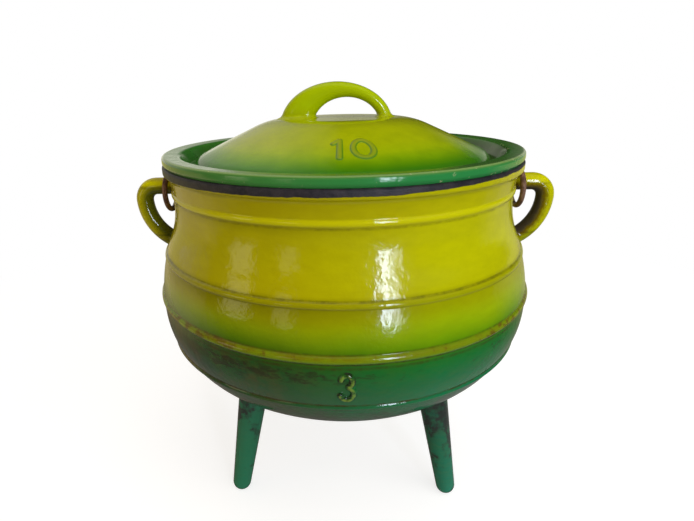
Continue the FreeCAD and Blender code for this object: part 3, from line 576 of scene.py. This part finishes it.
# Lid
# One casting of even thickness: a flat rim, a round trough and a low dome with a flat top. Its enamel runs
# from dark green at the rim to olive yellow on the dome, and the underside is bare black iron.

# The section's corners are (radius, height over the rim's top), each with the radius that rounds it.
RIM_TOP, LID_STEPS_ROUND, LID_STEP = 277, 288, 0.3
LID_LINE = [((0, 20.3), 0), ((51, 20.3), 58), ((103.5, -3.6), 12), ((107, -9.2), 2.6), ((110.4, -9.2), 2.6),
            ((115.8, -0.6), 3), ((127.4, 0), 1.9), ((127.5, -4.6), 1.6), ((126.2, -6.6), 0.3),
            ((119.7, -6.5), 0.3), ((119.7, -13.7), 2), ((104.8, -13.7), 4), ((100.6, -7.3), 6),
            ((50.02, 15.8), 53.5), ((0, 15.8), 0)]


def filled_in(line, step):
    """A line with points added on its long sides, so that none is much over a step from the next: on a side
    cut in n they lie at 1/n, 2/n, and so on to its end."""
    sides = np.diff(line, axis=0)
    cuts = np.maximum((np.linalg.norm(sides, axis=1) / step).astype(int), 1)
    place = np.concatenate([np.arange(1, n + 1) / n for n in cuts])[:, None]
    return np.vstack([line[:1], np.repeat(line[:-1], cuts, axis=0) + place * np.repeat(sides, cuts, axis=0)])


def lid_spacing(line):
    """Points lie 2 mm apart underneath, 0.55 mm apart from the dome's foot out, and 2.6 mm apart inward."""
    return np.select([line[:, 1] < -10, line[:, 0] > 92], [2.0, 0.55], 2.6)


lid_corners = [corner for corner, radius in LID_LINE]
lid_fine = rounded(lid_corners, [radius for corner, radius in LID_LINE[1:-1]], LID_STEP)
lid_line = thin_out(filled_in(lid_fine, LID_STEP), lid_spacing)
lid_line[[0, -1], 0] = AXIS_GAP
# Each point keeps how far it lies along the line past the rim's foot, where the enamel stops.
rim_foot = int(np.argmax((lid_line[:, 1] < -6.3) & (lid_line[:, 0] > 124)))
lid_run = run_along(lid_line)
past_rim_foot = np.repeat(lid_run - lid_run[rim_foot], LID_STEPS_ROUND)
lid_rings = turned(lid_line + [0, RIM_TOP], LID_STEPS_ROUND)
lid_disc = rings_mesh("lid_disc", lid_rings, past_rim_foot=past_rim_foot)

# The same enamel, sprayed from the middle out, by the distance in mm: yellow on the dome, green at its foot,
# darkest in the trough.
LID_SPRAY = [(40, "#A4AC00"), (62, "#A2AC00"), (76, "#A2AE00"), (85, "#96AC00"), (91, "#7A9E00"),
             (96, "#5E8E00"), (101, "#3C7C06"), (106, "#2C681A"), (112, "#2A6E24"), (117, "#38762A"),
             (122, "#40782C"), (127, "#4A7A34")]
SPRAY_IN, SPRAY_OUT = LID_SPRAY[0][0], LID_SPRAY[-1][0]
lid_enamel, tree = new_material("lid_enamel_on_cast_iron")
place = add_node(tree, "TexCoord", output="Object")
across = add_node(tree, "SeparateXYZ", place, output="X")
backward = add_node(tree, "SeparateXYZ", place, output="Y")
height = add_node(tree, "SeparateXYZ", place, output="Z")
flat = add_node(tree, "CombineXYZ", across, backward)
distance = add_node(tree, "VectorMath", flat, operation="LENGTH", output="Value")
drift = add_node(tree, "TexNoise", place, Scale=20, Detail=3)
drift = add_node(tree, "Math", drift, 0.5, operation="SUBTRACT")
sprayed = added(tree, distance, (drift, 0.012))
sprayed = add_node(tree, "MapRange", sprayed, SPRAY_IN * MM, SPRAY_OUT * MM)
colour = add_node(tree, "ValToRGB", sprayed, stops=[
    ((r - SPRAY_IN) / (SPRAY_OUT - SPRAY_IN), linear(tint)) for r, tint in LID_SPRAY])

# The coat is a little uneven. The number has painted shade, greener, on its flanks and a painted highlight,
# yellower, along its ridges. The rim's front face has a painted bluish light toward the right, and the handle
# is a fresh yellow green.
ridge = add_node(tree, "Attribute", attribute_name="ridge", output="Fac")
rim_face_bluish_light = overlap(tree, add_node(tree, "MapRange", distance, 0.1255, 0.1265, 0, 0.75),
                   add_node(tree, "MapRange", height, 0.2764, 0.2750),
                   add_node(tree, "MapRange", across, -0.10, 0.03))
colour = painted(tree, colour, (patches(tree, place, 80, 5, 0.65, 0.38, 0.75, 0.22), "#4C6E00"),
                 (stripe(tree, ridge, 0.40, 0.38), "#5E9A00"),
                 (add_node(tree, "MapRange", ridge, 0.70, 0.95, 0, 0.6), "#A8BE00"), (rim_face_bluish_light, "#188444"),
                 (add_node(tree, "MapRange", height, 0.296, 0.306), "#A3B600"))

# Soot lies in the trough in patches, most at the right, and the trough is darker toward the back. The rim's
# edges carry a pale painted highlight, and pale flecks that are partly chipped enamel and partly painted
# glints.
trough_soot_and_dark_back = add_node(tree, "TexNoise", place, Scale=70, Detail=5, Roughness=0.7)
trough_soot_and_dark_back = add_node(tree, "MapRange", added(tree, across, (trough_soot_and_dark_back, 0.5)), 0.26, 0.34, 0, 0.45)
trough_soot_and_dark_back = add_node(tree, "Math", trough_soot_and_dark_back, add_node(tree, "MapRange", backward, -0.05, 0.05, 0, 0.3),
                operation="MAXIMUM")
painted_edge_highlight = overlap(tree, stripe(tree, distance, 0.1264, 0.0009),
                      add_node(tree, "MapRange", height, 0.2756, 0.2764, 0, 0.35))
chips_and_glints = add_node(tree, "TexNoise", place, Scale=330, Detail=4, Roughness=0.7)
chips_and_glints = added(tree, chips_and_glints, (add_node(tree, "MapRange", across, 0.0, 0.12), 0.08))
edges = add_node(tree, "Math", stripe(tree, distance, 0.1268, 0.0009), stripe(tree, distance, 0.1165, 0.0008),
                 operation="MAXIMUM")
chipped = overlap(tree, add_node(tree, "MapRange", chips_and_glints, 0.67, 0.71), edges)
colour = painted(tree, colour, (overlap(tree, stripe(tree, distance, 0.1110, 0.006), trough_soot_and_dark_back), "#3C3A14"),
                 (painted_edge_highlight, "#A8B878"), (chipped, "#B9B48C"))

past_edge = add_node(tree, "Attribute", attribute_name="past_rim_foot", output="Fac")
bare = add_node(tree, "MapRange", past_edge, -0.2, 0.4)
colour = painted(tree, colour, (bare, "#1C191A"))
roughness = add_node(tree, "MapRange", bare, 0, 1, 0.12, 0.6)
skin = add_node(tree, "TexNoise", place, Scale=110, Detail=4, Roughness=0.55)
skin = added(tree, skin, (add_node(tree, "TexNoise", place, Scale=600, Detail=2), 0.14))
relief = add_node(tree, "Bump", Height=skin, Strength=0.45, Distance=0.0005)
shader = add_node(tree, "BsdfPrincipled", Base_Color=colour, Roughness=roughness, IOR=1.5, Normal=relief)
add_node(tree, "OutputMaterial", Surface=shader)

lid_disc.data.materials.append(lid_enamel)
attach(lid_disc, "pot")
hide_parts("lid")

# The loop handle is cast in one with the lid. It lies between two half ellipses that are set off from each
# other, so the left root is the wide one, and it is rounded all over. Its ends reach down inside the dome.

GRIP_RISE, GRIP_SPAN, GRIP_SHIFT, GRIP_SPRING = 44.7, 41, -3, 13.8
HOLE_RISE, HOLE_SPAN, HOLE_SHIFT = 34, 24.3, 4.3
GRIP_DEPTH, GRIP_SQUARED, GRIP_FILLET = 14, 0.84, 3.2
INSIDE_THE_ENAMEL = -50


def half_ellipse(shift, span, rise):
    """Points over the lid: x = shift + span cos a and z = spring + (rise - spring) sin a, with a from 5 to
    175 degrees."""
    turn = np.radians(np.linspace(5, 175, 150))[:, None]
    up = RIM_TOP + GRIP_SPRING + (rise - GRIP_SPRING) * np.sin(turn)
    return np.concatenate([shift + span * np.cos(turn), 0 * turn, up], -1)


hole = half_ellipse(HOLE_SHIFT, HOLE_SPAN, HOLE_RISE)
back = half_ellipse(GRIP_SHIFT, GRIP_SPAN, GRIP_RISE)
around = np.linspace(0, 2 * math.pi, 56, endpoint=False)[None, :, None]
radial = np.sign(np.cos(around)) * np.abs(np.cos(around)) ** GRIP_SQUARED
sideways = np.sign(np.sin(around)) * np.abs(np.sin(around)) ** GRIP_SQUARED
middles = ((hole + back) / 2)[:, None]
rings = middles + radial * ((back - hole) / 2)[:, None] + sideways * np.array([0, GRIP_DEPTH / 2, 0])
top_line = lid_line[:rim_foot]
dome = np.interp(np.hypot(rings[..., 0], rings[..., 1]), top_line[:, 0], top_line[:, 1]) + RIM_TOP
straight_up = np.broadcast_to([0, 0, 1.0], rings.shape)
rings = flared(rings, np.broadcast_to(middles, rings.shape), rings[..., 2] - dome, straight_up, GRIP_FILLET)
grip = rings_mesh("lid_handle", rings, past_rim_foot=np.full(rings.shape[:2], INSIDE_THE_ENAMEL))
grip.data.materials.append(lid_enamel)
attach(grip, "pot")
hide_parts("lid")


# The lid's size, a raised 10, stands on the front of the dome, a little right of its middle.

LID_STROKE_HALF, LID_STROKE_RISE, LID_NUMBER_MARGIN, NUMBER_CIRCLE = 2.1, 0.7, 2.9, 80


def dome_front(u, v):
    """The lid's top as (distance round, distance up the slope): radius 80 - v, at u / 80 round from the
    front."""
    slope = top_line[top_line[:, 0] < 100]
    normals = np.gradient(slope, axis=0)
    normals = np.stack([-normals[:, 1], normals[:, 0]], -1) / np.linalg.norm(normals, axis=1, keepdims=True)
    radius, turn = NUMBER_CIRCLE - v, u / NUMBER_CIRCLE - math.pi / 2
    side, up, rise = (np.interp(radius, slope[:, 0], line) for line in (*normals.T, slope[:, 1]))
    points = np.stack([radius * np.cos(turn), radius * np.sin(turn), rise + RIM_TOP], -1)
    return points, np.stack([side * np.cos(turn), side * np.sin(turn), up], -1)


upright = np.linspace((-0.2, -8.6), (-0.2, 8.6), 80)
flag = np.linspace((-0.2, 8.6), (-4.2, 5.4), 80)
ten = np.concatenate([upright, flag, curve_points((13.6, 0), 5.9, 8.4, 0, 360)])
lid_number = raised_strokes("lid_size_number", dome_front, ten,
                            LID_STROKE_HALF, LID_STROKE_RISE, LID_NUMBER_MARGIN)
lid_number.data.materials.append(lid_enamel)
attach(lid_number, "pot")
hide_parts("lid")


# Bail
# A single length of 4 mm steel wire, bent cold: a bow with a hook at each end that runs round an ear's bar.
# It carries no coating and has rusted brown.

# The bow reaches 155.5 mm from the line through the hooks. At rest the bail leans back and down by 29.7
# degrees below level, where it lies on the belly bead.
WIRE, HOOK_PLACE, HOOK_HOLE, HOOK_TURN, PIVOT_HEIGHT = 4, 132, 22.6, 262, 244.3
BOW_REACH, BAIL_LEAN, WIRE_STEPS_ROUND = 155.5439, math.radians(29.73528), 24

# The wire is laid out level along Y first, from one hook's tip over the bow to the other's.
hook_arc = (HOOK_HOLE + WIRE) / 2
bow_turn = BOW_REACH - HOOK_PLACE
hook_angle = np.radians(np.linspace(HOOK_TURN, 0, 110)[:-1])
hook = np.stack([0 * hook_angle + HOOK_PLACE, -hook_arc * np.sin(hook_angle),
                 hook_arc * np.cos(hook_angle)], -1)
along_y = np.linspace(0, bow_turn, 15)[:-1]
straight = np.stack([0 * along_y + HOOK_PLACE, along_y, 0 * along_y + hook_arc], -1)
bow_angle = np.linspace(0, math.pi, 181)
bow = np.stack([HOOK_PLACE * np.cos(bow_angle), bow_turn + HOOK_PLACE * np.sin(bow_angle),
                0 * bow_angle + hook_arc], -1)
half_wire = np.concatenate([hook, straight])
wire_path = np.concatenate([half_wire, bow, half_wire[::-1] * [-1, 1, 1]])

# Its rings are path + radius (cos a * first + sin a * second), where first points outward, along X on the
# hooks and square to the bow in its plane. The radius shrinks to round both tips.
along = np.gradient(wire_path, axis=0)
along /= np.linalg.norm(along, axis=1, keepdims=True)
on_hook = np.abs(wire_path[:, :1]) > HOOK_PLACE - 0.01
first = np.where(on_hook, np.sign(wire_path[:, :1]) * [[1.0, 0, 0]], -np.cross(along, [[0, 0, 1.0]]))
first -= (first * along).sum(1, keepdims=True) * along
first /= np.linalg.norm(first, axis=1, keepdims=True)
second = np.cross(along, first)
wire_run = run_along(wire_path)
end_gap = np.minimum(wire_run, wire_run[-1] - wire_run) / (WIRE / 2)
wire_radius = WIRE / 2 * np.sqrt(1 - np.clip(1 - end_gap, 0, 0.98) ** 2)
angle = np.linspace(0, 2 * math.pi, WIRE_STEPS_ROUND, endpoint=False)[None, :, None]
round_wire = np.cos(angle) * first[:, None] + np.sin(angle) * second[:, None]
x, y, z = np.moveaxis(wire_path[:, None] + wire_radius[:, None, None] * round_wire, -1, 0)
lean_y = y * math.cos(BAIL_LEAN) + z * math.sin(BAIL_LEAN)
lean_z = z * math.cos(BAIL_LEAN) - y * math.sin(BAIL_LEAN)
bail = rings_mesh("bail_wire", np.stack([x, lean_y, lean_z + PIVOT_HEIGHT], -1))

# Rusted mild steel wire: brown oxide, rough and without metal's mirror, worn back to grey steel in spots.
rust, tree = new_material("rusted_steel_wire")
place = add_node(tree, "TexCoord", output="Object")
blotch = add_node(tree, "TexNoise", place, Scale=130, Detail=5, Roughness=0.65)
oxide = add_node(tree, "ValToRGB", blotch, stops=[
    (0.36, linear("#33221A")), (0.5, linear("#6A4632")), (0.62, linear("#8A6A52"))])
worn = add_node(tree, "MapRange", blotch, 0.56, 0.66, 0, 0.8)
grain = add_node(tree, "TexNoise", place, Scale=1500, Detail=3)
relief = add_node(tree, "Bump", Height=grain, Strength=0.4, Distance=0.0003)
roughness = add_node(tree, "MapRange", worn, 0, 1, 0.6, 0.3)
shader = add_node(tree, "BsdfPrincipled", Base_Color=oxide, Metallic=worn, Roughness=roughness, Normal=relief)
add_node(tree, "OutputMaterial", Surface=shader)
bail.data.materials.append(rust)
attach(bail, "bail")
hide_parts("bail")


# Floor and light
# A plain pale studio: a matt floor, a white surround, one tall window light at the right and soft fill.

# The floor lies a hair under the feet. To the camera it is white beyond the pot's shadow. To the enamel's
# mirror it is a room's floor: dark, grey under the pot, sunlit beside it and glowing far behind it.
FLOOR_SIZE, FLOOR_HEIGHT = 8, -0.0004
bpy.ops.mesh.primitive_plane_add(size=FLOOR_SIZE, location=(0, 0, FLOOR_HEIGHT))
floor = bpy.context.object
floor.name = "floor"
floor_paint, tree = new_material("floor_paint")
place = add_node(tree, "TexCoord", output="Object")
across = add_node(tree, "SeparateXYZ", place, output="X")
backward = add_node(tree, "SeparateXYZ", place, output="Y")
distance = add_node(tree, "VectorMath", place, operation="LENGTH", output="Value")
matt = add_node(tree, "AddShader", add_node(tree, "BsdfDiffuse", Color=(0.40, 0.40, 0.40, 1)),
                add_node(tree, "Emission", Color=(1, 1, 1, 1), Strength=0.76))
white = add_node(tree, "Emission", Color=(1, 1, 1, 1), Strength=1.0)
seen = add_node(tree, "MixShader", add_node(tree, "MapRange", distance, 0.20, 0.75), matt, white)
dark = add_node(tree, "BsdfDiffuse", Color=(0.04, 0.04, 0.04, 1))
grey = add_node(tree, "BsdfDiffuse", Color=(0.34, 0.34, 0.34, 1))
sunlit = add_node(tree, "BsdfDiffuse", Color=(0.95, 0.87, 0.52, 1))
glow = add_node(tree, "Emission", Color=(1, 0.93, 0.35, 1), Strength=0.62)
at_left = overlap(tree, add_node(tree, "MapRange", across, -0.25, -0.6),
                  add_node(tree, "MapRange", backward, -0.35, 0.0))
at_right = overlap(tree, add_node(tree, "MapRange", across, 0.1, 0.4),
                   add_node(tree, "MapRange", backward, 0.0, 0.4, 0, 0.6))
beside = add_node(tree, "Math", at_left, at_right, operation="MAXIMUM")
off_middle = add_node(tree, "Math", across, operation="ABSOLUTE")
far = overlap(tree, add_node(tree, "MapRange", distance, 0.9, 1.6),
              add_node(tree, "MapRange", backward, 0.2, 0.7),
              add_node(tree, "MapRange", off_middle, 0.2, 0.5))
mirrored = dark
for cover, over in ((add_node(tree, "MapRange", distance, 0.40, 0.20), grey), (beside, sunlit), (far, glow)):
    mirrored = add_node(tree, "MixShader", cover, mirrored, over)
mirrored = add_node(tree, "MixShader", add_node(tree, "LightPath", output="Is Glossy Ray"), grey, mirrored)
both = add_node(tree, "MixShader", add_node(tree, "LightPath", output="Is Camera Ray"), mirrored, seen)
add_node(tree, "OutputMaterial", Surface=both)
floor.data.materials.append(floor_paint)

# The surround is white to the camera and a soft fill on the object, warm from the left. To a mirror it is a
# dim room with a bright band low behind, a pale wall at the left, a glare at the right and a light overhead.
world = bpy.data.worlds.new("studio")
bpy.context.scene.world = world
world.use_nodes = True
tree = world.node_tree
tree.nodes.clear()
toward = add_node(tree, "TexCoord", output="Generated")
across, backward, upward = (add_node(tree, "SeparateXYZ", toward, output=axis) for axis in "XYZ")
low_band = overlap(tree, add_node(tree, "MapRange", backward, 0.6, 0.9, 0, 0.42),
                   add_node(tree, "MapRange", upward, 0.13, 0.07),
                   add_node(tree, "MapRange", across, 0.18, 0.08))
left_wall = overlap(tree, add_node(tree, "MapRange", backward, -0.1, 0.45, 0, 0.57),
                    add_node(tree, "MapRange", across, 0.0, -0.32))
glare = overlap(tree, add_node(tree, "MapRange", across, 0.30, 0.42),
                add_node(tree, "MapRange", upward, 0.35, 0.15, 0, 0.5),
                add_node(tree, "MapRange", backward, 0.5, 0.8))
overhead = overlap(tree, add_node(tree, "MapRange", upward, 0.80, 0.97),
                   add_node(tree, "MapRange", backward, 0.4, 0.2, 0, 0.3))
brightness = added(tree, 0.015, (low_band, 1), (left_wall, 1), (glare, 1), (overhead, 1))
room = add_node(tree, "Background", Color=(1, 0.98, 0.84, 1), Strength=brightness)
warm_from_left = (add_node(tree, "MapRange", across, 0.4, -0.4), (1, 0.74, 0.42, 1))
fill = add_node(tree, "Background", Color=painted(tree, (0.98, 1, 0.96, 1), warm_from_left), Strength=0.38)
white = add_node(tree, "Background", Color=(1, 1, 1, 1), Strength=1.0)
mirror_ray = add_node(tree, "Math", add_node(tree, "LightPath", output="Is Glossy Ray"),
                      add_node(tree, "LightPath", output="Is Transmission Ray"), operation="MAXIMUM")
lit = add_node(tree, "MixShader", mirror_ray, fill, room)
shown = add_node(tree, "MixShader", add_node(tree, "LightPath", output="Is Camera Ray"), lit, white)
add_node(tree, "OutputWorld", Surface=shown)

# Each light has its angle round from the front, its angle up, its distance, its width and height, its power,
# its tint and whether the enamel mirrors it. All aim at a point 0.2 m over the ground.
LAMP_AIM_HEIGHT = 0.2
LAMPS = {
    "window": (25, 8, 2.0, (0.17, 1.1), 15.5, (0.75, 0.83, 1), True),
    "window_side": (31, 8, 2.0, (0.10, 1.0), 2.9, (0.85, 0.9, 1), True),
    "soft_right": (58, 34, 2.2, (1.6, 1.6), 18, (1, 1, 0.97), False),
    "door_left": (-61, 3, 2.0, (0.52, 0.85), 2.1, (1, 0.93, 0.6), True),
    "door_ajar": (-31, 3, 2.0, (0.32, 0.85), 0.85, (1, 0.93, 0.6), True),
    "warm_left": (-78, 16, 2.2, (1.4, 1.4), 4.5, (1, 0.78, 0.42), False),
    "sky": (20, 78, 2.4, (1.6, 1.6), 16, (1, 1, 1), False),
}
for name, (azimuth, elevation, distance, (wide, tall), watts, tint, mirrored_too) in LAMPS.items():
    lamp = bpy.data.lights.new(name, "AREA")
    lamp.shape, lamp.size, lamp.size_y, lamp.energy, lamp.color = "RECTANGLE", wide, tall, watts, tint
    stand = bpy.data.objects.new(name, lamp)
    bpy.context.scene.collection.objects.link(stand)
    turn, rise = math.radians(azimuth), math.radians(elevation)
    direction = np.array([math.sin(turn) * math.cos(rise), -math.cos(turn) * math.cos(rise), math.sin(rise)])
    stand.location = direction * distance + [0, 0, LAMP_AIM_HEIGHT]
    stand.rotation_euler = (math.pi / 2 - rise, 0, turn)
    stand.visible_glossy = mirrored_too
    stand.visible_camera = False


# Camera
# At the height and distance the photograph was taken from, aimed a little left of the pot.

CAMERA_PLACE = (0.0016, -0.3610, 0.3184)
CAMERA_TURN, CAMERA_DOWN, CAMERA_ROLL = math.radians(3.03), math.radians(20.06), math.radians(-1.356)
camera_data = bpy.data.cameras.new("camera")
camera_data.sensor_width, camera_data.lens, camera_data.shift_x = 36, 24.69, 0.0394
camera = bpy.data.objects.new("camera", camera_data)
bpy.context.scene.collection.objects.link(camera)
camera.matrix_world = (
    Matrix.Translation(CAMERA_PLACE) @ Matrix.Rotation(CAMERA_TURN, 4, "Z")
    @ Matrix.Rotation(math.pi / 2 - CAMERA_DOWN, 4, "X") @ Matrix.Rotation(CAMERA_ROLL, 4, "Z"))
bpy.context.scene.camera = camera

bpy.context.scene.view_settings.view_transform = "Standard"
